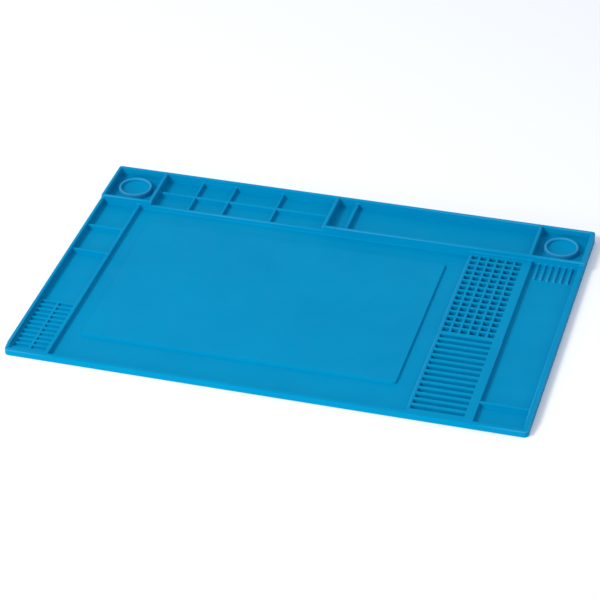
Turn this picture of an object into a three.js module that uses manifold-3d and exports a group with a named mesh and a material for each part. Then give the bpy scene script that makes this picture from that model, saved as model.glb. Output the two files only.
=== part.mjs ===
// A flexible work mat with parts compartments, moulded in one piece from blue silicone rubber.
//
// Millimetres, +Z up. The mat is laid out from its front left corner, with X to the right and
// Y to the rear, and the whole layout is then moved so that the origin is at the centre of the
// underside. The moulding is divided where its shape changes: a base sheet, and the rims, walls,
// dividers, racks and ring cups that stand on it. They meet face to face.

import * as THREE from 'three';
import { mergeVertices } from 'three/addons/utils/BufferGeometryUtils.js';
import Module from 'manifold-3d';

// ---------------------------------------------------------------- driving dimensions

const LENGTH = 450;            // along X
const DEPTH = 300;             // along Y
const FRONT_CORNER_RADIUS = 4; // the outer corners, in plan
const REAR_CORNER_RADIUS = 2.5;

const FLOOR = 1.5;             // top of the base sheet, the floor of every tray
const LOW_TOP = 5.5;           // front rim and walls of the front part
const SIDE_RIM_TOP = 7.5;      // the rims along the two ends
const SIDE_RIM_SLOPE = 12;     // over this length they come down to the front rim
const HIGH_TOP = 10;           // outer walls of the rear band
const SLOT_RACK_TOP = 3.5;     // the screw rack lies below its side walls
const TWEEZER_RIB_TOP = 3.5;
const NARROW_DIVIDER_TOP = 6.5;
const PAD_HEIGHT = 2;          // the work pad above the base sheet

const FRONT_RIM = 4.5;         // rim widths
const LEFT_RIM = 3;
const RIGHT_RIM = 4.8;

const BAND_FRONT = 246.5;      // front face of the rear band
const BAND_WALL = 3;           // its front and rear walls
const LEFT_END_WALL = 3;
const RIGHT_END_WALL = 3.8;

// Walls that run front to back in the rear band, each as [left face, right face].
const LEFT_BAY_SIDE = [45.4, 48.5];
const COMPARTMENT_END = [210.5, 213.8];
const NARROW_DIVIDER = [229, 232.4];
const RIGHT_BAY_SIDE = [399.5, 402.5];
const COMPARTMENT_DIVIDERS = [[81.4, 84], [113.1, 115.7], [158.6, 161.2]];
const MID_WALL = [270.6, 273.2];   // the wall between the two rows of compartments, along Y

// Left column: three trays, then a rack of slots for screws.
const LEFT_COLUMN_WALL = [34.8, 38.3];
const LEFT_COLUMN_DIVIDERS = [[201.8, 204.4], [161.3, 163.9]];
const SLOT_COUNT = 11;
const SLOT_PITCH = 6.58;
const SLOT_WIDTH = 4.3;        // along Y
const FIRST_SLOT = 12.4;       // centre of the front slot
const SLOT_COLUMNS = [[4.2, 18.2], [20.6, 33.7]];
const SLOT_RACK_REAR = 82.2;

// Work pad.
const PAD_X = [53, 331];
const PAD_Y = [41, 224.5];

// Right racks: square holes at the rear, long slots at the front.
const RACK_LEFT = 347.5;
const RACK_HOLE_LEFT = 350.5;
const HOLE_COLUMNS = 6;
const HOLE_ROWS = 15;
const HOLE_PITCH_X = 7.9;
const HOLE_PITCH_Y = 8.15;
const HOLE_SIZE_X = 5.7;
const HOLE_SIZE_Y = 6;
const FIRST_HOLE_ROW = 124.7;  // centre of the front row
const RACK_SPLIT = 119;        // where the square holes end and the long slots begin
const LONG_SLOT_SECTIONS = 2;  // ladders of long slots, one behind the other
const SLOTS_IN_SECTION = 7;
const LONG_SLOT_PITCH = 8;
const LONG_SLOT_WIDTH = 5;
const LAST_LONG_SLOT = 114.8;  // centre of the rearmost long slot
const RIGHT_COLUMN_WALL = [396.8, 403.9];

// Right column: upright ribs that hold tweezers, a long tray and a small front tray.
const TWEEZER_RIBS = 6;
const TWEEZER_RIB_PITCH = 5.9;
const TWEEZER_RIB_WIDTH = 2.2;
const FIRST_TWEEZER_RIB = 409.5;
const TWEEZER_RIB_FRONT = 222;
const FRONT_TRAY_DIVIDER = [30.2, 32.8];

// Ring cups that stand in the two corner bays.
const RING_TOP = 7;
const RING_OUTER_RADIUS = 15.4;
const RING_INNER_RADIUS = 13;
const DISH_EDGE = 4;           // height of the dish where it meets the ring's inner face
const DISH_CENTRE = 2;         // height of the dish at its middle
const DISH_STEPS = 6;
const RING_STEPS = 48;         // facets round a ring
const ARC_STEPS = 8;           // facets round an outer corner
const PAST_END = 1;            // how far a cutting tool reaches past the piece it cuts

// ---------------------------------------------------------------- places worked out from them

const BAND_INSIDE_FRONT = BAND_FRONT + BAND_WALL;
const BAND_INSIDE_REAR = DEPTH - BAND_WALL;
const RIGHT_RIM_LEFT = LENGTH - RIGHT_RIM;
const RIGHT_END_LEFT = LENGTH - RIGHT_END_WALL;
const BAND_MIDDLE = (BAND_INSIDE_FRONT + BAND_INSIDE_REAR) / 2;
const LEFT_RING_X = (LEFT_END_WALL + LEFT_BAY_SIDE[0]) / 2;
const RIGHT_RING_X = (RIGHT_BAY_SIDE[1] + RIGHT_END_LEFT) / 2;

// ---------------------------------------------------------------- material and mesh helpers

const wasm = await Module();
wasm.setup();

const layout = new THREE.Group();
layout.position.set(-LENGTH / 2, -DEPTH / 2, 0);

function blueSilicone() {
  return new THREE.MeshStandardMaterial({ color: 0x0a8cc2, roughness: 0.55, metalness: 0 });
}

function addPiece(name, geometry) {
  const mesh = new THREE.Mesh(geometry, blueSilicone());
  mesh.name = name;
  layout.add(mesh);
  return mesh;
}

// ---------------------------------------------------------------- shapes

function matOutline() {
  const front = FRONT_CORNER_RADIUS;
  const rear = REAR_CORNER_RADIUS;
  const outline = new THREE.Shape();
  outline.moveTo(front, 0);
  outline.lineTo(LENGTH - front, 0);
  outline.absarc(LENGTH - front, front, front, -Math.PI / 2, 0, false);
  outline.lineTo(LENGTH, DEPTH - rear);
  outline.absarc(LENGTH - rear, DEPTH - rear, rear, 0, Math.PI / 2, false);
  outline.lineTo(rear, DEPTH);
  outline.absarc(rear, DEPTH - rear, rear, Math.PI / 2, Math.PI, false);
  outline.lineTo(0, front);
  outline.absarc(front, front, front, Math.PI, 1.5 * Math.PI, false);
  return outline;
}

function rectangleOn(path, x, y) {
  path.moveTo(x[0], y[0]);
  path.lineTo(x[1], y[0]);
  path.lineTo(x[1], y[1]);
  path.lineTo(x[0], y[1]);
  path.closePath();
  return path;
}

function upright(shape, z) {
  const settings = { depth: z[1] - z[0], bevelEnabled: false, curveSegments: ARC_STEPS };
  const geometry = new THREE.ExtrudeGeometry(shape, settings);
  geometry.translate(0, 0, z[0]);
  return geometry;
}

function blockGeometry(x, y, z) {
  return upright(rectangleOn(new THREE.Shape(), x, y), z);
}

function toSolid(geometry) {
  const bare = geometry.clone();
  bare.deleteAttribute('normal');
  bare.deleteAttribute('uv');
  const merged = mergeVertices(bare);
  const mesh = new wasm.Mesh({
    numProp: 3,
    vertProperties: new Float32Array(merged.attributes.position.array),
    triVerts: new Uint32Array(merged.index.array),
  });
  return new wasm.Manifold(mesh);
}

function toGeometry(solid) {
  const mesh = solid.getMesh();
  const geometry = new THREE.BufferGeometry();
  geometry.setAttribute('position', new THREE.BufferAttribute(mesh.vertProperties, mesh.numProp));
  geometry.setIndex(new THREE.BufferAttribute(mesh.triVerts, 1));
  geometry.computeVertexNormals();
  return geometry;
}

// A plain upright block between two faces on each axis.
function addBlock(name, x, y, z) {
  return addPiece(name, blockGeometry(x, y, z));
}

// A piece on the mat's edge, rounded where the mat's own corners are rounded.
function addEdgePiece(name, geometry, z) {
  const mat = toSolid(upright(matOutline(), [z[0] - PAST_END, z[1] + PAST_END]));
  return addPiece(name, toGeometry(toSolid(geometry).intersect(mat)));
}

function addEdgeBlock(name, x, y, z) {
  return addEdgePiece(name, blockGeometry(x, y, z), z);
}

// A side rim, drawn in its side view and extruded across its width. Its front end slopes down.
function addSideRim(name, x) {
  const sideView = new THREE.Shape();
  sideView.moveTo(FRONT_RIM, FLOOR);
  sideView.lineTo(BAND_FRONT, FLOOR);
  sideView.lineTo(BAND_FRONT, SIDE_RIM_TOP);
  sideView.lineTo(FRONT_RIM + SIDE_RIM_SLOPE, SIDE_RIM_TOP);
  sideView.lineTo(FRONT_RIM, LOW_TOP);
  sideView.closePath();
  const geometry = new THREE.ExtrudeGeometry(sideView, { depth: x[1] - x[0], bevelEnabled: false });
  geometry.rotateX(Math.PI / 2);
  geometry.rotateZ(Math.PI / 2);
  geometry.translate(x[0], 0, 0);
  return addEdgePiece(name, geometry, [FLOOR, SIDE_RIM_TOP]);
}

// A flat rack with straight-sided holes right through to the base sheet.
function addRack(name, x, y, z, holes) {
  let rack = toSolid(blockGeometry(x, y, z));
  for (const hole of holes) {
    const tool = blockGeometry(hole.x, hole.y, [z[0] - PAST_END, z[1] + PAST_END]);
    rack = rack.subtract(toSolid(tool));
  }
  return addPiece(name, toGeometry(rack));
}

// ---------------------------------------------------------------- sub-parts

function buildBase() {
  addPiece('base_sheet', upright(matOutline(), [0, FLOOR]));
  addBlock('work_pad', PAD_X, PAD_Y, [FLOOR, FLOOR + PAD_HEIGHT]);
}

function buildFrontRims() {
  addEdgeBlock('front_rim', [0, LENGTH], [0, FRONT_RIM], [FLOOR, LOW_TOP]);
  addSideRim('left_rim', [0, LEFT_RIM]);
  addSideRim('right_rim', [RIGHT_RIM_LEFT, LENGTH]);
}

function buildRearBandWalls() {
  const high = [FLOOR, HIGH_TOP];
  const front = [BAND_FRONT, BAND_INSIDE_FRONT];
  const inside = [BAND_INSIDE_FRONT, BAND_INSIDE_REAR];
  addEdgeBlock('rear_wall', [0, LENGTH], [BAND_INSIDE_REAR, DEPTH], high);
  addEdgeBlock('left_end_wall', [0, LEFT_END_WALL], inside, high);
  addEdgeBlock('right_end_wall', [RIGHT_END_LEFT, LENGTH], inside, high);
  addBlock('left_bay_front_wall', [0, LEFT_BAY_SIDE[1]], front, high);
  addBlock('compartment_front_wall', [LEFT_BAY_SIDE[1], COMPARTMENT_END[0]], front, [FLOOR, LOW_TOP]);
  addBlock('tool_tray_front_wall', [COMPARTMENT_END[0], LENGTH], front, high);
  addBlock('left_bay_side_wall', LEFT_BAY_SIDE, inside, high);
  addBlock('compartment_end_wall', COMPARTMENT_END, inside, high);
  addBlock('right_bay_side_wall', RIGHT_BAY_SIDE, inside, high);
  addBlock('narrow_tray_divider', NARROW_DIVIDER, inside, [FLOOR, NARROW_DIVIDER_TOP]);
}

function buildCompartmentDividers() {
  const z = [FLOOR, LOW_TOP];
  COMPARTMENT_DIVIDERS.forEach((x, i) => {
    addBlock(`compartment_divider_${i + 1}`, x, [BAND_INSIDE_FRONT, BAND_INSIDE_REAR], z);
  });
  const walls = [LEFT_BAY_SIDE, ...COMPARTMENT_DIVIDERS, COMPARTMENT_END];
  for (let i = 0; i + 1 < walls.length; i += 1) {
    addBlock(`compartment_mid_wall_${i + 1}`, [walls[i][1], walls[i + 1][0]], MID_WALL, z);
  }
}

// A ring on the bay's floor with a shallow dish inside it, turned from one closed profile.
function addRingCup(name, centreX) {
  const profile = [new THREE.Vector2(0, FLOOR)];
  profile.push(new THREE.Vector2(RING_OUTER_RADIUS, FLOOR));
  profile.push(new THREE.Vector2(RING_OUTER_RADIUS, RING_TOP));
  profile.push(new THREE.Vector2(RING_INNER_RADIUS, RING_TOP));
  for (let i = DISH_STEPS; i >= 0; i -= 1) {
    const share = i / DISH_STEPS;
    const height = DISH_CENTRE + (DISH_EDGE - DISH_CENTRE) * share * share;
    profile.push(new THREE.Vector2(RING_INNER_RADIUS * share, height));
  }
  const geometry = new THREE.LatheGeometry(profile, RING_STEPS);
  geometry.rotateX(Math.PI / 2);
  const mesh = addPiece(name, geometry);
  mesh.position.set(centreX, BAND_MIDDLE, 0);
}

function buildRingCups() {
  addRingCup('left_ring_cup', LEFT_RING_X);
  addRingCup('right_ring_cup', RIGHT_RING_X);
}

function buildLeftColumn() {
  const z = [FLOOR, LOW_TOP];
  addBlock('left_column_wall', LEFT_COLUMN_WALL, [FRONT_RIM, BAND_FRONT], z);
  const across = [LEFT_RIM, LEFT_COLUMN_WALL[0]];
  LEFT_COLUMN_DIVIDERS.forEach((y, i) => addBlock(`left_column_divider_${i + 1}`, across, y, z));

  const slots = [];
  for (let row = 0; row < SLOT_COUNT; row += 1) {
    const centre = FIRST_SLOT + row * SLOT_PITCH;
    const y = [centre - SLOT_WIDTH / 2, centre + SLOT_WIDTH / 2];
    SLOT_COLUMNS.forEach((x) => slots.push({ x, y }));
  }
  addRack('screw_slot_rack', across, [FRONT_RIM, SLOT_RACK_REAR], [FLOOR, SLOT_RACK_TOP], slots);
}

// One row of square holes: a bar across the rack with teeth behind it that part the holes.
function holeRowOutline(rackRight, y, barRear) {
  const outline = new THREE.Shape();
  outline.moveTo(RACK_LEFT, y[0]);
  outline.lineTo(rackRight, y[0]);
  outline.lineTo(rackRight, y[1]);
  for (let column = HOLE_COLUMNS - 1; column >= 0; column -= 1) {
    const left = RACK_HOLE_LEFT + column * HOLE_PITCH_X;
    outline.lineTo(left + HOLE_SIZE_X, y[1]);
    outline.lineTo(left + HOLE_SIZE_X, barRear);
    outline.lineTo(left, barRear);
    outline.lineTo(left, y[1]);
  }
  outline.lineTo(RACK_LEFT, y[1]);
  outline.closePath();
  return outline;
}

function buildSquareHoleRack(rackRight, z) {
  let front = RACK_SPLIT;
  for (let row = 0; row < HOLE_ROWS; row += 1) {
    const centre = FIRST_HOLE_ROW + row * HOLE_PITCH_Y;
    const rear = centre + HOLE_SIZE_Y / 2;
    const outline = holeRowOutline(rackRight, [front, rear], centre - HOLE_SIZE_Y / 2);
    addPiece(`square_hole_row_${row + 1}`, upright(outline, z));
    front = rear;
  }
  addBlock('square_hole_end_bar', [RACK_LEFT, rackRight], [front, BAND_FRONT], z);
}

function buildLongSlotRack(rackRight, z) {
  const slotX = [RACK_HOLE_LEFT, RACK_HOLE_LEFT + (HOLE_COLUMNS - 1) * HOLE_PITCH_X + HOLE_SIZE_X];
  const sectionDepth = SLOTS_IN_SECTION * LONG_SLOT_PITCH;
  let rear = RACK_SPLIT;
  for (let section = LONG_SLOT_SECTIONS; section >= 1; section -= 1) {
    const lastSlot = LAST_LONG_SLOT - (LONG_SLOT_SECTIONS - section) * sectionDepth;
    const middleOfRib = lastSlot - sectionDepth + LONG_SLOT_PITCH / 2;
    const front = section === 1 ? FRONT_RIM : middleOfRib;
    const slots = [];
    for (let slot = 0; slot < SLOTS_IN_SECTION; slot += 1) {
      const centre = lastSlot - slot * LONG_SLOT_PITCH;
      slots.push({ x: slotX, y: [centre - LONG_SLOT_WIDTH / 2, centre + LONG_SLOT_WIDTH / 2] });
    }
    addRack(`long_slot_rack_${section}`, [RACK_LEFT, rackRight], [front, rear], z, slots);
    rear = front;
  }
}

function buildRightRacks() {
  const z = [FLOOR, LOW_TOP];
  buildSquareHoleRack(RIGHT_COLUMN_WALL[0], z);
  buildLongSlotRack(RIGHT_COLUMN_WALL[0], z);
  addBlock('right_column_wall', RIGHT_COLUMN_WALL, [FRONT_RIM, BAND_FRONT], z);
}

function buildRightColumn() {
  const ribY = [TWEEZER_RIB_FRONT, BAND_FRONT];
  for (let i = 0; i < TWEEZER_RIBS; i += 1) {
    const centre = FIRST_TWEEZER_RIB + i * TWEEZER_RIB_PITCH;
    const x = [centre - TWEEZER_RIB_WIDTH / 2, centre + TWEEZER_RIB_WIDTH / 2];
    addBlock(`tweezer_rib_${i + 1}`, x, ribY, [FLOOR, TWEEZER_RIB_TOP]);
  }
  const across = [RIGHT_COLUMN_WALL[1], RIGHT_RIM_LEFT];
  addBlock('front_tray_divider', across, FRONT_TRAY_DIVIDER, [FLOOR, LOW_TOP]);
}

buildBase();
buildFrontRims();
buildRearBandWalls();
buildCompartmentDividers();
buildRingCups();
buildLeftColumn();
buildRightRacks();
buildRightColumn();

const mat = new THREE.Group();
mat.add(layout);

export default mat;
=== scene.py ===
"""Looks for the silicone work mat: one soft blue moulding, shown as seamless tiles around the CAD frame.

The real mat is a single piece of silicone rubber. Its visual model is cut into tiles along planes where the
shape runs straight across, so the cuts don't show. Each tile is a terraced solid: every cell between
neighbouring walls has one height, taken from the CAD nodes. Draft is added to the walls, and every edge,
inner or outer, is rounded as a moulded one is. Metres throughout.
"""

import math

import bmesh
import bpy
from mathutils import Matrix, Vector


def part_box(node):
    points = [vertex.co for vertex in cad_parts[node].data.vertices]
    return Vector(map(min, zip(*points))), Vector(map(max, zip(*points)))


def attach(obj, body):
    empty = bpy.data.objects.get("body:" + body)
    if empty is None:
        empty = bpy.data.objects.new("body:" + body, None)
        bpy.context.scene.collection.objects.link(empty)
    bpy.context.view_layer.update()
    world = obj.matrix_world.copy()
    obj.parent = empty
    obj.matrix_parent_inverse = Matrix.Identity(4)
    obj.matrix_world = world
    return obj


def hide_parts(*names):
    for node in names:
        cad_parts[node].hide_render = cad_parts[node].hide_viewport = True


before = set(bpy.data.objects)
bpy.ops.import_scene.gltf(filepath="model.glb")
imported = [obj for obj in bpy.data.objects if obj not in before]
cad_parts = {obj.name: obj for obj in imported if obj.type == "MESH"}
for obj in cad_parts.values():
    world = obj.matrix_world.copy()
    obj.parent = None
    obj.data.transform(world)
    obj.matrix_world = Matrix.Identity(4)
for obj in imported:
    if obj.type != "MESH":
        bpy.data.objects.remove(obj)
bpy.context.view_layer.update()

MM = 0.001

# ---------------------------------------------------------------- driving values

FRONT_CORNER_RADIUS = 4 * MM     # the mat's outer corners, in plan
REAR_CORNER_RADIUS = 2.5 * MM
CORNER_STEPS = 12
DRAFT_DEGREES = 3
DRAFT = math.tan(math.radians(DRAFT_DEGREES))
WALL_ROUND = 0.9 * MM        # radius on the rims and tray walls
RACK_ROUND = 0.45 * MM       # radius round the small slots and holes
UNDER_ROUND = 0.3 * MM       # radius along the bottom edge
ROUND_SHARE = 0.42           # a radius takes at most this share of the face beside it
ROUND_STEPS = 4
ROUNDED = 1                  # material index that marks the faces of a rounding while it is made
BEND = "edge_bend"           # vertex attribute that the material reads
FULL_BEND = math.radians(30)
ROOM_LIMIT = 1.2 * MM        # half of the greatest distance at which two roundings could meet
PARALLEL = 0.99              # least cosine between two edges that run side by side
SLOPE_REACH = 0.5 * MM       # how near a side rim's front end its corners lie, draft included
SHARP_ANGLE = math.radians(40)
EDGE_ANGLE = math.radians(25)
FLAT_ANGLE = math.radians(0.5)   # faces that meet at less than this are joined
OPENING_MARGIN = 0.4 * MM        # how near a rack's opening its own edges lie, draft included
NORMAL_WEIGHT = 80
PRISM_LOW = -5 * MM              # the outline that trims the corners stands from here
PRISM_HIGH = 20 * MM             # to here

BAND_CUT_AHEAD = 2 * MM      # the rear tiles begin this far in front of the band's face
LEFT_CUT_PAST = 6 * MM       # the left column's tiles end this far right of its wall
RACK_CUT_AHEAD = 7 * MM      # the rack tiles begin this far left of the racks
RIGHT_CUT_PAST = 2.5 * MM    # and end this far right of the wall beside them
RACK_END_CUT = 4.5 * MM      # cut across the left column, behind its slotted rack
TWEEZER_CUT_AHEAD = 6 * MM   # cut across the right column, in front of the tweezer ribs

RING_STEPS = 96
RING_FOOT = 0.8 * MM         # radius of the fillets at the ring's feet
RING_FOOT_STEPS = 5
RING_RIM_STEPS = 8
DISH_FOOT_DEGREES = 80       # the fillet inside the ring stops here, where the dish begins
DISH_POINTS = 10
SUNK = 0.4 * MM              # how far a piece reaches down into the sheet that it stands on

PAD_SLOPE = 1.0 * MM         # the pad's edge rises over this width
PAD_SLOPE_STEPS = 8
PAD_CORNER = 3.5 * MM
PAD_CORNER_STEPS = 8

BLUE = (0.0, 0.243, 0.455, 1)
DEEPER_BLUE = (0.0, 0.226, 0.437, 1)
PAINTED_HIGHLIGHT_BLUE = (0.04, 0.268, 0.49, 1)      # outer edges, paler: a painted highlight where light catches the rounded rims
PAINTED_SHADE_BLUE = (0.0, 0.19, 0.405, 1)     # inner corners, darker: painted shade in the creases
PAINTED_HIGHLIGHT_SHARE = 0.7             # how strongly the painted highlight on the outer edges shows
PAINTED_SHADE_SHARE = 0.5           # how strongly the painted shade in the inner corners shows
SILICONE_IOR = 1.41
SHEEN_LEVEL = 0.07
SHEEN_TINT = (0.0, 0.55, 1.0, 1)
CLOUD_SCALE = 14.0           # broad clouding of the colour
POLISH_SCALE = 45.0          # patches of more and less roughness
LEAST_ROUGHNESS = 0.5
MOST_ROUGHNESS = 0.62
GRAIN_SCALE = 2200.0         # the moulded grain
GRAIN_DEPTH = 0.03 * MM
GRAIN_STRENGTH = 0.35
NOISE_DETAIL = 2.0
NOISE_LOW = 0.3              # the part of a noise's range that is spread over a range of values
NOISE_HIGH = 0.7

FLOOR_SIZE = 12.0
FLOOR_CELLS = 4
PALE_PAPER = (0.92, 0.92, 0.92, 1)
PAPER_ROUGHNESS = 0.9
WARM_WHITE = (1.0, 0.985, 0.94)
LAMP_SIZE = 0.9
KEY_DIRECTION = (-0.8, -0.85, 1.0)
KEY_DISTANCE = 3.0
KEY_POWER = 58
FILL_DIRECTION = (-0.15, -0.97, 0.2)
FILL_DISTANCE = 2.6
FILL_POWER = 17
SKY_COLOUR = (0.92, 0.97, 1.07, 1)
SKY_STRENGTH = 0.75
CAMERA_AZIMUTH = math.radians(16.3)
CAMERA_ELEVATION = math.radians(34.41)
CAMERA_ROLL = math.radians(-0.83)
CAMERA_DISTANCE = 2.195
CAMERA_TARGET = Vector((-0.0066, -0.0038, -0.0027))
CAMERA_LENS = 151.3
CAMERA_SENSOR = 36

TINY = 1e-7                  # heights closer than this are one
ON_PLANE = 0.002 * MM        # how near a cut plane an edge lies that is in it
SAME = 0.01 * MM             # CAD coordinates closer than this are one
NEAR = 0.05 * MM             # grid lines or parallel edges closer than this are one
LEAST_SHARED = 0.1 * MM      # two edges are side by side if they share more length than this


# ---------------------------------------------------------------- reading the frame

def extent(node, axis):
    """Where a CAD node begins and ends along one axis."""
    low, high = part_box(node)
    return low[axis], high[axis]


def middle(node, axis):
    return sum(extent(node, axis)) / 2


def levels(node, axis):
    """The different coordinates of a CAD node's corners along one axis, in order."""
    found = []
    for value in sorted(vertex.co[axis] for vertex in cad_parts[node].data.vertices):
        if not found or value - found[-1] > SAME:
            found.append(value)
    return found


def slope_end(node):
    """Where a side rim reaches its full height, behind its sloping front end."""
    top = extent(node, 2)[1]
    corners = [v.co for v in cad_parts[node].data.vertices]
    return min(corner.y for corner in corners if corner.z > top - SAME)


def block(node):
    """A node's plan rectangle and its top, as (x0, x1, y0, y1, top)."""
    low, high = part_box(node)
    return low.x, high.x, low.y, high.y, high.z


def pairs(values):
    return list(zip(values[0::2], values[1::2]))


SIDE_RIMS = ["left_rim", "right_rim"]
COMB_ROW = "square_hole_row"     # a bar with teeth behind it, where the other racks are closed ladders


def openings_in(node):
    """The plan rectangles of a rack's openings, read from the corners of its CAD solid."""
    xs, ys = levels(node, 0), levels(node, 1)
    if node.startswith(COMB_ROW):
        spans = [(ys[1], ys[2])]
    else:
        spans = pairs(ys[1:-1])
    return [(x0, x1, y0, y1) for x0, x1 in pairs(xs[1:-1]) for y0, y1 in spans]


RACK_NAMES = (COMB_ROW, "long_slot_rack", "screw_slot_rack")
RACKS = [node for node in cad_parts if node.startswith(RACK_NAMES)]
LATHED = ["left_ring_cup", "right_ring_cup"]
SHEETS = ["base_sheet", "work_pad"]
BLOCKS = [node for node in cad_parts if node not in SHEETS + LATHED]
OPENINGS = [opening for node in RACKS for opening in openings_in(node)]
MAT_LOW, MAT_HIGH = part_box("base_sheet")
FLOOR = MAT_HIGH.z


def overlaps(rectangle, x_range, y_range):
    x0, x1, y0, y1 = rectangle
    return x0 < x_range[1] and x1 > x_range[0] and y0 < y_range[1] and y1 > y_range[0]


# ---------------------------------------------------------------- the terraced tile

def distinct(values, low, high):
    """Sorted values from low to high, with the two ends included and near repeats dropped."""
    kept = [low]
    for value in sorted(values):
        if low + NEAR < value < high - NEAR and value - kept[-1] > NEAR:
            kept.append(value)
    return kept + [high]


class Terrace:
    """One height for each cell between the grid lines that the blocks' sides make."""

    def __init__(self, x_range, y_range):
        raised = [block(node) for node in BLOCKS]
        sunk = [(*opening, FLOOR) for opening in OPENINGS]
        inside = [b for b in raised + sunk if overlaps(b[:4], x_range, y_range)]
        self.xs = distinct([side for b in inside for side in b[:2]], *x_range)
        slopes = [slope_end(node) for node in SIDE_RIMS if overlaps(block(node)[:4], x_range, y_range)]
        self.ys = distinct([side for b in inside for side in b[2:4]] + slopes, *y_range)
        self.height = {}
        for i in range(len(self.xs) - 1):
            for j in range(len(self.ys) - 1):
                x = (self.xs[i] + self.xs[i + 1]) / 2
                y = (self.ys[j] + self.ys[j + 1]) / 2
                self.height[i, j] = self.top_at(x, y, inside)

    @staticmethod
    def top_at(x, y, blocks):
        top = FLOOR
        for x0, x1, y0, y1, block_top in blocks:
            if x0 < x < x1 and y0 < y < y1:
                top = block_top
        return top

    def around(self, i, j):
        """The heights of the cells left-front, right-front, left-rear and right-rear of a grid point."""
        cells = ((i - 1, j - 1), (i, j - 1), (i - 1, j), (i, j))
        return [self.height.get(cell) for cell in cells]

    def drafted(self, i, j, z):
        """A grid point at height z, moved out from the walls above it by their draft."""
        left_front, right_front, left_rear, right_rear = self.around(i, j)
        shift_x = draft_shift(z, (left_front, right_front), (left_rear, right_rear))
        shift_y = draft_shift(z, (left_front, left_rear), (right_front, right_rear))
        return Vector((self.xs[i] + shift_x, self.ys[j] + shift_y, z))


def draft_shift(z, *pairs):
    """How far the draft of the walls moves a point at height z, towards the lower cell of each pair."""
    shift = 0.0
    for first, second in pairs:
        if first is None or second is None or abs(first - second) < TINY:
            continue
        drop = max(first, second) - z
        if drop > TINY and z > TINY:
            move = DRAFT * drop if first > second else -DRAFT * drop
            shift = move if abs(move) > abs(shift) else shift
    return shift


def terrace_mesh(terrace):
    """A closed solid from the terrace: flat tops, walls between cells, sides, and a flat underside."""
    mesh = bmesh.new()
    points = {}

    def point(i, j, z):
        key = (i, j, round(z / TINY))
        if key not in points:
            points[key] = mesh.verts.new(terrace.drafted(i, j, z))
        return points[key]

    def column(i, j, low, high):
        """The corners on a vertical line between two heights, from low to high."""
        heights = {h for h in terrace.around(i, j) if h is not None} | {low, high}
        return [point(i, j, h) for h in sorted(heights) if low - TINY <= h <= high + TINY]

    def wall(a, b, first, second):
        """The upright face between two cells, seen from the lower one."""
        low, high = sorted((first or 0.0, second or 0.0))
        if high - low < TINY:
            return
        start, end = column(*a, low, high), column(*b, low, high)
        ring = start + end[::-1]
        mesh.faces.new(ring if (first or 0.0) > (second or 0.0) else ring[::-1])

    columns, rows = len(terrace.xs) - 1, len(terrace.ys) - 1
    for (i, j), top in terrace.height.items():
        around_cell = ((i, j), (i + 1, j), (i + 1, j + 1), (i, j + 1))
        mesh.faces.new([point(column_i, row_j, top) for column_i, row_j in around_cell])
        under_cell = ((i, j), (i, j + 1), (i + 1, j + 1), (i + 1, j))
        mesh.faces.new([point(column_i, row_j, 0.0) for column_i, row_j in under_cell])
    for i in range(columns + 1):
        for j in range(rows):
            wall((i, j), (i, j + 1), terrace.height.get((i, j)), terrace.height.get((i - 1, j)))
    for i in range(columns):
        for j in range(rows + 1):
            wall((i, j), (i + 1, j), terrace.height.get((i, j - 1)), terrace.height.get((i, j)))
    bmesh.ops.recalc_face_normals(mesh, faces=mesh.faces)
    return mesh


def slope_side_rims(mesh):
    """Brings the front ends of the side rims down to the height of the front rim."""
    low = extent("front_rim", 2)[1]
    for node in SIDE_RIMS:
        x0, x1, y0, _, top = block(node)
        for vertex in mesh.verts:
            beside = x0 - SLOPE_REACH < vertex.co.x < x1 + SLOPE_REACH
            at_front = abs(vertex.co.y - y0) < SLOPE_REACH
            if beside and at_front and abs(vertex.co.z - top) < TINY:
                below = [v for v in mesh.verts if abs(v.co.z - low) < TINY]
                vertex.co = min(below, key=lambda v: (v.co - vertex.co).length).co
    bmesh.ops.remove_doubles(mesh, verts=mesh.verts, dist=TINY)
    bmesh.ops.dissolve_degenerate(mesh, edges=mesh.edges, dist=TINY)


def to_object(name, mesh):
    data = bpy.data.meshes.new(name)
    mesh.to_mesh(data)
    mesh.free()
    piece = bpy.data.objects.new(name, data)
    bpy.context.scene.collection.objects.link(piece)
    return piece


def bake_modifiers(piece):
    """Replaces the piece's mesh by what its modifiers make of it."""
    bpy.context.view_layer.update()
    evaluated = piece.evaluated_get(bpy.context.evaluated_depsgraph_get())
    data = bpy.data.meshes.new_from_object(evaluated)
    piece.modifiers.clear()
    piece.data = data


def outline_prism():
    """The mat's outline with its round corners, standing from below the mat to above it."""
    mesh = bmesh.new()
    front, rear = FRONT_CORNER_RADIUS, REAR_CORNER_RADIUS
    corners = [
        (MAT_HIGH.x - rear, MAT_HIGH.y - rear, rear, 0),
        (MAT_LOW.x + rear, MAT_HIGH.y - rear, rear, 90),
        (MAT_LOW.x + front, MAT_LOW.y + front, front, 180),
        (MAT_HIGH.x - front, MAT_LOW.y + front, front, 270),
    ]
    ring = []
    for x, y, r, start in corners:
        for step in range(CORNER_STEPS + 1):
            angle = math.radians(start + 90 * step / CORNER_STEPS)
            ring.append((x + r * math.cos(angle), y + r * math.sin(angle)))
    low = [mesh.verts.new((x, y, PRISM_LOW)) for x, y in ring]
    high = [mesh.verts.new((x, y, PRISM_HIGH)) for x, y in ring]
    mesh.faces.new(low[::-1])
    mesh.faces.new(high)
    for k in range(len(ring)):
        n = (k + 1) % len(ring)
        mesh.faces.new([low[k], low[n], high[n], high[k]])
    return to_object("outline_prism", mesh)


def trim_corners(piece):
    prism = outline_prism()
    cut = piece.modifiers.new("trim", "BOOLEAN")
    cut.operation = "INTERSECT"
    cut.solver = "EXACT"
    cut.object = prism
    bake_modifiers(piece)
    bpy.data.objects.remove(prism)


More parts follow.
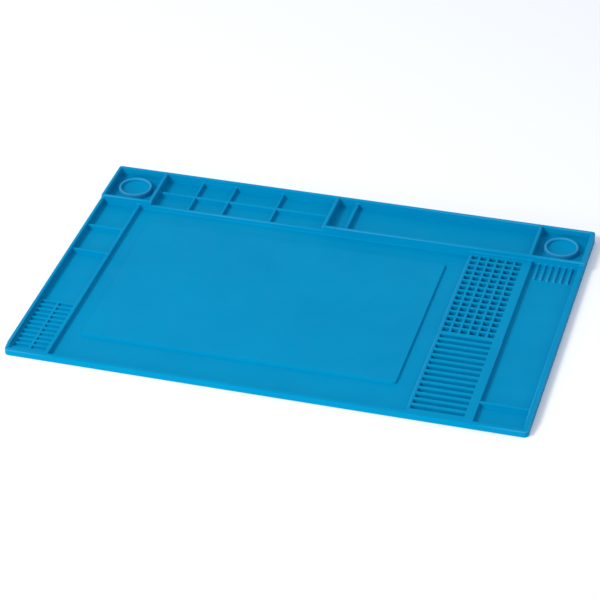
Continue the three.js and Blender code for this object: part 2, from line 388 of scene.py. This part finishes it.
def on_cut(edge, x_range, y_range):
    """True for an edge in one of the tile's cut planes, which isn't an edge of the real mat."""
    planes = [(0, x) for x in x_range if MAT_LOW.x + TINY < x < MAT_HIGH.x - TINY]
    planes += [(1, y) for y in y_range if MAT_LOW.y + TINY < y < MAT_HIGH.y - TINY]
    return any(all(abs(v.co[axis] - place) < ON_PLANE for v in edge.verts) for axis, place in planes)


def by_an_opening(spot):
    x_range = (spot.x - OPENING_MARGIN, spot.x + OPENING_MARGIN)
    y_range = (spot.y - OPENING_MARGIN, spot.y + OPENING_MARGIN)
    return any(overlaps(opening, x_range, y_range) for opening in OPENINGS)


def edge_box(edge):
    """An edge's box, grown by the distance at which another rounding could meet its own."""
    ends = [v.co for v in edge.verts]
    low = [min(end[axis] for end in ends) - ROOM_LIMIT for axis in range(3)]
    high = [max(end[axis] for end in ends) + ROOM_LIMIT for axis in range(3)]
    return low, high


def boxes_meet(first, second):
    return all(first[0][axis] < second[1][axis] and second[0][axis] < first[1][axis] for axis in range(3))


def room_beside(edge, boxes):
    """The least distance from an edge to another bent edge that runs beside it."""
    start, end = (v.co for v in edge.verts)
    along = (end - start).normalized()
    length = (end - start).length
    room = 2 * ROOM_LIMIT
    for other, box in boxes.items():
        if other == edge or not boxes_meet(boxes[edge], box):
            continue
        line = other.verts[1].co - other.verts[0].co
        if abs(line.normalized().dot(along)) < PARALLEL:
            continue
        places = sorted((v.co - start).dot(along) for v in other.verts)
        beside = min(places[1], length) - max(places[0], 0.0) > LEAST_SHARED
        offset = other.verts[0].co - start
        distance = (offset - along * offset.dot(along)).length
        if beside and distance > NEAR:
            room = min(room, distance)
    return room


def rounding(edge, boxes):
    """The radius that an edge gets."""
    spot = (edge.verts[0].co + edge.verts[1].co) / 2
    if spot.z < SAME:
        return UNDER_ROUND
    radius = RACK_ROUND if by_an_opening(spot) else WALL_ROUND
    return min(radius, ROUND_SHARE * room_beside(edge, boxes))


def round_edges(piece, x_range, y_range):
    """Rounds every real edge of the moulding, and leaves the cut planes flat."""
    mesh = bmesh.new()
    mesh.from_mesh(piece.data)
    bmesh.ops.dissolve_limit(mesh, angle_limit=FLAT_ANGLE, verts=mesh.verts, edges=mesh.edges)
    weights = mesh.edges.layers.float.new("bevel_weight_edge")
    bent = [edge for edge in mesh.edges if edge.is_manifold and abs(edge.calc_face_angle(0.0)) > EDGE_ANGLE]
    boxes = {edge: edge_box(edge) for edge in bent if not on_cut(edge, x_range, y_range)}
    for edge in boxes:
        edge[weights] = rounding(edge, boxes) / WALL_ROUND
    mesh.to_mesh(piece.data)
    mesh.free()
    piece.data.materials.clear()
    piece.data.materials.append(None)
    piece.data.materials.append(None)
    bevel = piece.modifiers.new("round", "BEVEL")
    bevel.limit_method = "WEIGHT"
    bevel.width = WALL_ROUND
    bevel.segments = ROUND_STEPS
    bevel.use_clamp_overlap = False
    bevel.loop_slide = True
    bevel.material = ROUNDED
    bake_modifiers(piece)
    mark_bends(piece, lambda face: face.material_index == ROUNDED)


def mark_bends(piece, is_round):
    """Gives each vertex inside a rounding 1 on an outer edge and -1 in an inner corner, for the material's
    painted highlight and painted shade.
    """
    mesh = bmesh.new()
    mesh.from_mesh(piece.data)
    bend = mesh.verts.layers.float.new(BEND)
    for vertex in mesh.verts:
        if all(is_round(face) for face in vertex.link_faces):
            angles = [edge.calc_face_angle_signed(0.0) for edge in vertex.link_edges if edge.is_manifold]
            vertex[bend] = max(-1.0, min(1.0, sum(angles) / FULL_BEND))
    for face in mesh.faces:
        face.material_index = 0
    mesh.to_mesh(piece.data)
    mesh.free()


def smooth(piece):
    """Smooth shading that keeps flats flat and leaves the edges sharp that weren't rounded."""
    mesh = bmesh.new()
    mesh.from_mesh(piece.data)
    for face in mesh.faces:
        face.smooth = True
    for edge in mesh.edges:
        edge.smooth = not (edge.is_manifold and abs(edge.calc_face_angle(0.0)) > SHARP_ANGLE)
    mesh.to_mesh(piece.data)
    mesh.free()
    weighted = piece.modifiers.new("normals", "WEIGHTED_NORMAL")
    weighted.keep_sharp = True
    weighted.weight = NORMAL_WEIGHT


def finish_piece(piece, material, *nodes):
    piece.data.materials.clear()
    piece.data.materials.append(material)
    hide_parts(*nodes)
    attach(piece, "root")
    return piece


def add_tile(name, x_range, y_range, material):
    """A tile of the moulding, which stands for its part of every CAD node that it covers."""
    mesh = terrace_mesh(Terrace(x_range, y_range))
    slope_side_rims(mesh)
    piece = to_object(name, mesh)
    at_side = x_range[0] < MAT_LOW.x + TINY or x_range[1] > MAT_HIGH.x - TINY
    at_end = y_range[0] < MAT_LOW.y + TINY or y_range[1] > MAT_HIGH.y - TINY
    if at_side and at_end:
        trim_corners(piece)
    round_edges(piece, x_range, y_range)
    smooth(piece)
    covered = [node for node in BLOCKS if overlaps(block(node)[:4], x_range, y_range)]
    return finish_piece(piece, material, "base_sheet", *covered)


# ---------------------------------------------------------------- the round and raised pieces

def arc(centre_x, centre_z, radius, start, end, steps):
    """Points on an arc of a profile, with the angles in degrees."""
    points = []
    for step in range(steps + 1):
        angle = math.radians(start + (end - start) * step / steps)
        points.append((centre_x + radius * math.cos(angle), centre_z + radius * math.sin(angle)))
    return points


def ring_profile(node):
    """Half of the ring cup's section, from the outer foot over the rim to the middle of the dish."""
    vertices = [v.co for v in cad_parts[node].data.vertices]
    x, y, top = middle(node, 0), middle(node, 1), extent(node, 2)[1]
    reach = [(math.hypot(v.x - x, v.y - y), v.z) for v in vertices]
    outer = max(r for r, z in reach)
    inner = min(r for r, z in reach if z > top - SAME)
    dish_edge = min(z for r, z in reach if abs(r - inner) < NEAR)
    dish_centre = min(z for r, z in reach if r < SAME and z > FLOOR + SAME)
    rim = (outer - inner) / 2
    lean = DRAFT * (top - FLOOR)
    points = [(outer + lean + RING_FOOT, FLOOR - SUNK)]
    outside = outer + lean + RING_FOOT
    points += arc(outside, FLOOR + RING_FOOT, RING_FOOT, 270, 180 + DRAFT_DEGREES, RING_FOOT_STEPS)
    points += arc(outer - rim, top - rim, rim, DRAFT_DEGREES, 180 - DRAFT_DEGREES, RING_RIM_STEPS)
    foot = inner - DRAFT * (top - dish_edge)
    dish = foot - RING_FOOT
    foot_height = dish_edge + RING_FOOT
    points += arc(dish, foot_height, RING_FOOT, -DRAFT_DEGREES, -DISH_FOOT_DEGREES, RING_FOOT_STEPS)
    for step in range(1, DISH_POINTS + 1):
        share = 1 - step / DISH_POINTS
        points.append((dish * share, dish_centre + (dish_edge - dish_centre) * share * share))
    return points


def turned(name, profile, x, y):
    """A closed solid turned from a profile that ends on the axis."""
    mesh = bmesh.new()
    rings = []
    for radius, z in profile[:-1]:
        ring = []
        for step in range(RING_STEPS):
            angle = 2 * math.pi * step / RING_STEPS
            ring.append(mesh.verts.new((x + radius * math.cos(angle), y + radius * math.sin(angle), z)))
        rings.append(ring)
    centre = mesh.verts.new((x, y, profile[-1][1]))
    for lower, upper in zip(rings, rings[1:]):
        for k in range(RING_STEPS):
            n = (k + 1) % RING_STEPS
            mesh.faces.new([lower[k], lower[n], upper[n], upper[k]])
    for k in range(RING_STEPS):
        mesh.faces.new([rings[-1][k], rings[-1][(k + 1) % RING_STEPS], centre])
    mesh.faces.new(rings[0][::-1])
    bmesh.ops.recalc_face_normals(mesh, faces=mesh.faces)
    return to_object(name, mesh)


def add_ring(name, node, material):
    piece = turned(name, ring_profile(node), middle(node, 0), middle(node, 1))
    mark_bends(piece, lambda face: True)
    smooth(piece)
    return finish_piece(piece, material, node)


def rounded_rectangle(x_range, y_range, radius):
    """The corners' arcs of a rectangle, joined by its straight sides."""
    ring = []
    corners = [(x_range[1], y_range[1], -1, -1, 0), (x_range[0], y_range[1], 1, -1, 90),
               (x_range[0], y_range[0], 1, 1, 180), (x_range[1], y_range[0], -1, 1, 270)]
    for x, y, inward_x, inward_y, start in corners:
        for step in range(PAD_CORNER_STEPS + 1):
            angle = math.radians(start + 90 * step / PAD_CORNER_STEPS)
            across = radius * (inward_x + math.cos(angle))
            back = radius * (inward_y + math.sin(angle))
            ring.append((x + across, y + back))
    return ring


def add_pad(name, node, material):
    """The raised work pad, whose edge is one soft slope."""
    (x0, x1), (y0, y1), (_, top) = (extent(node, axis) for axis in range(3))
    mesh = bmesh.new()
    rings = []
    levels_up = [(0.0, FLOOR - SUNK)]
    for step in range(PAD_SLOPE_STEPS + 1):
        share = step / PAD_SLOPE_STEPS
        levels_up.append((PAD_SLOPE * share, FLOOR + (top - FLOOR) * share * share * (3 - 2 * share)))
    for inset, z in levels_up:
        outline = rounded_rectangle((x0 + inset, x1 - inset), (y0 + inset, y1 - inset), PAD_CORNER - inset)
        rings.append([mesh.verts.new((x, y, z)) for x, y in outline])
    for lower, upper in zip(rings, rings[1:]):
        for k in range(len(lower)):
            n = (k + 1) % len(lower)
            mesh.faces.new([lower[k], lower[n], upper[n], upper[k]])
    mesh.faces.new(rings[-1])
    mesh.faces.new(rings[0][::-1])
    bmesh.ops.recalc_face_normals(mesh, faces=mesh.faces)
    piece = to_object(name, mesh)
    smooth(piece)
    return finish_piece(piece, material, node)


# ---------------------------------------------------------------- material

def noise(nodes, links, coordinates, scale):
    texture = nodes.new("ShaderNodeTexNoise")
    texture.inputs["Scale"].default_value = scale
    texture.inputs["Detail"].default_value = NOISE_DETAIL
    links.new(coordinates, texture.inputs["Vector"])
    return texture.outputs["Fac"]


def spread(nodes, links, value, low, high):
    """Maps the middle of a noise onto a range of values."""
    mapped = nodes.new("ShaderNodeMapRange")
    mapped.inputs["From Min"].default_value = NOISE_LOW
    mapped.inputs["From Max"].default_value = NOISE_HIGH
    mapped.inputs["To Min"].default_value = low
    mapped.inputs["To Max"].default_value = high
    links.new(value, mapped.inputs["Value"])
    return mapped.outputs["Result"]


def blend_colour(nodes, links, share, first, second):
    """Mixes two colours, each a fixed one or the output of another node."""
    mix = nodes.new("ShaderNodeMix")
    mix.data_type = "RGBA"
    for name, colour in (("A", first), ("B", second)):
        if isinstance(colour, tuple):
            mix.inputs[name].default_value = colour
        else:
            links.new(colour, mix.inputs[name])
    links.new(share, mix.inputs["Factor"])
    return mix.outputs["Result"]


def share_of_bend(nodes, links, full, share):
    """How strongly a rounding's painted colour shows, a painted highlight on outer edges and painted shade
    in inner corners: nothing on flat rubber, and share where the bend is full.
    """
    bend = nodes.new("ShaderNodeAttribute")
    bend.attribute_name = BEND
    mapped = nodes.new("ShaderNodeMapRange")
    mapped.inputs["From Max"].default_value = full
    mapped.inputs["To Max"].default_value = share
    links.new(bend.outputs["Fac"], mapped.inputs["Value"])
    return mapped.outputs["Result"]


def blue_silicone():
    """Matt moulded silicone: a saturated blue, faintly uneven, with a fine moulded grain, a painted
    highlight on its outer edges and painted shade in its inner corners.
    """
    material = bpy.data.materials.new("blue_silicone")
    material.use_nodes = True
    nodes, links = material.node_tree.nodes, material.node_tree.links
    shader = nodes["Principled BSDF"]
    shader.inputs["IOR"].default_value = SILICONE_IOR
    shader.inputs["Specular IOR Level"].default_value = SHEEN_LEVEL
    shader.inputs["Specular Tint"].default_value = SHEEN_TINT
    place = nodes.new("ShaderNodeTexCoord").outputs["Object"]

    clouds = spread(nodes, links, noise(nodes, links, place, CLOUD_SCALE), 0.0, 1.0)
    colour = blend_colour(nodes, links, clouds, BLUE, DEEPER_BLUE)
    # a painted highlight on the outer rounded edges
    outer = share_of_bend(nodes, links, 1.0, PAINTED_HIGHLIGHT_SHARE)
    colour = blend_colour(nodes, links, outer, colour, PAINTED_HIGHLIGHT_BLUE)
    # painted shade in the inner corners
    inner = share_of_bend(nodes, links, -1.0, PAINTED_SHADE_SHARE)
    colour = blend_colour(nodes, links, inner, colour, PAINTED_SHADE_BLUE)
    links.new(colour, shader.inputs["Base Color"])
    polish = noise(nodes, links, place, POLISH_SCALE)
    roughness = spread(nodes, links, polish, LEAST_ROUGHNESS, MOST_ROUGHNESS)
    links.new(roughness, shader.inputs["Roughness"])

    grain = nodes.new("ShaderNodeBump")
    grain.inputs["Distance"].default_value = GRAIN_DEPTH
    grain.inputs["Strength"].default_value = GRAIN_STRENGTH
    links.new(noise(nodes, links, place, GRAIN_SCALE), grain.inputs["Height"])
    links.new(grain.outputs["Normal"], shader.inputs["Normal"])
    return material


# ---------------------------------------------------------------- the mat's pieces

def build_rear_band(material, front):
    """The deep band along the rear edge, cut along the middles of three of its walls."""
    rear = MAT_HIGH.y
    bay_left = middle("left_bay_side_wall", 0)
    compartments_end = middle("compartment_end_wall", 0)
    bay_right = middle("right_bay_side_wall", 0)
    add_tile("left_corner_bay", (MAT_LOW.x, bay_left), (front, rear), material)
    add_tile("small_parts_compartments", (bay_left, compartments_end), (front, rear), material)
    add_tile("long_tool_trays", (compartments_end, bay_right), (front, rear), material)
    add_tile("right_corner_bay", (bay_right, MAT_HIGH.x), (front, rear), material)
    add_ring("left_ring", "left_ring_cup", material)
    add_ring("right_ring", "right_ring_cup", material)


def build_front(material, rear):
    """Everything in front of the band: the left column, the work area, the racks and the right column."""
    front = MAT_LOW.y
    left_cut = extent("left_column_wall", 0)[1] + LEFT_CUT_PAST
    slots_cut = extent("screw_slot_rack", 1)[1] + RACK_END_CUT
    add_tile("left_column_trays", (MAT_LOW.x, left_cut), (slots_cut, rear), material)
    add_tile("screw_slots", (MAT_LOW.x, left_cut), (front, slots_cut), material)

    rack_cut = extent("long_slot_rack_1", 0)[0] - RACK_CUT_AHEAD
    wall_cut = extent("right_column_wall", 0)[1] + RIGHT_CUT_PAST
    racks_meet = extent("long_slot_rack_2", 1)[1]
    add_tile("work_area", (left_cut, rack_cut), (front, rear), material)
    add_pad("raised_work_pad", "work_pad", material)
    add_tile("square_hole_rack", (rack_cut, wall_cut), (racks_meet, rear), material)
    add_tile("long_slot_rack", (rack_cut, wall_cut), (front, racks_meet), material)

    tweezer_cut = extent("tweezer_rib_1", 1)[0] - TWEEZER_CUT_AHEAD
    add_tile("tweezer_slots", (wall_cut, MAT_HIGH.x), (tweezer_cut, rear), material)
    add_tile("right_column_trays", (wall_cut, MAT_HIGH.x), (front, tweezer_cut), material)


silicone = blue_silicone()
band_cut = extent("tool_tray_front_wall", 1)[0] - BAND_CUT_AHEAD
build_rear_band(silicone, band_cut)
build_front(silicone, band_cut)


# ---------------------------------------------------------------- stage, light and camera

def add_floor():
    mesh = bmesh.new()
    bmesh.ops.create_grid(mesh, x_segments=FLOOR_CELLS, y_segments=FLOOR_CELLS, size=FLOOR_SIZE / 2)
    floor = to_object("pale_floor", mesh)
    material = bpy.data.materials.new("pale_paper")
    material.use_nodes = True
    shader = material.node_tree.nodes["Principled BSDF"]
    shader.inputs["Base Color"].default_value = PALE_PAPER
    shader.inputs["Roughness"].default_value = PAPER_ROUGHNESS
    floor.data.materials.append(material)


def add_light(name, direction, distance, power):
    """A soft round light that isn't itself seen."""
    data = bpy.data.lights.new(name, "AREA")
    data.shape = "DISK"
    data.size = LAMP_SIZE
    data.energy = power
    data.color = WARM_WHITE
    light = bpy.data.objects.new(name, data)
    light.visible_camera = False
    bpy.context.scene.collection.objects.link(light)
    place = Vector(direction).normalized() * distance
    light.location = place
    light.rotation_euler = (-place).to_track_quat("-Z", "Y").to_euler()


def add_world():
    world = bpy.data.worlds.new("studio")
    bpy.context.scene.world = world
    world.use_nodes = True
    background = world.node_tree.nodes["Background"]
    background.inputs["Color"].default_value = SKY_COLOUR
    background.inputs["Strength"].default_value = SKY_STRENGTH


def add_camera():
    data = bpy.data.cameras.new("camera")
    data.lens = CAMERA_LENS
    data.sensor_width = CAMERA_SENSOR
    camera = bpy.data.objects.new("camera", data)
    bpy.context.scene.collection.objects.link(camera)
    level = CAMERA_DISTANCE * math.cos(CAMERA_ELEVATION)
    offset = Vector((
        level * math.sin(CAMERA_AZIMUTH),
        -level * math.cos(CAMERA_AZIMUTH),
        CAMERA_DISTANCE * math.sin(CAMERA_ELEVATION),
    ))
    look = (-offset).to_track_quat("-Z", "Y").to_matrix().to_4x4()
    camera.matrix_world = (
        Matrix.Translation(CAMERA_TARGET + offset) @ look @ Matrix.Rotation(CAMERA_ROLL, 4, "Z")
    )
    bpy.context.scene.camera = camera


add_floor()
add_light("key", KEY_DIRECTION, KEY_DISTANCE, KEY_POWER)
add_light("front_fill", FILL_DIRECTION, FILL_DISTANCE, FILL_POWER)
add_world()
add_camera()
bpy.context.scene.view_settings.view_transform = "Standard"
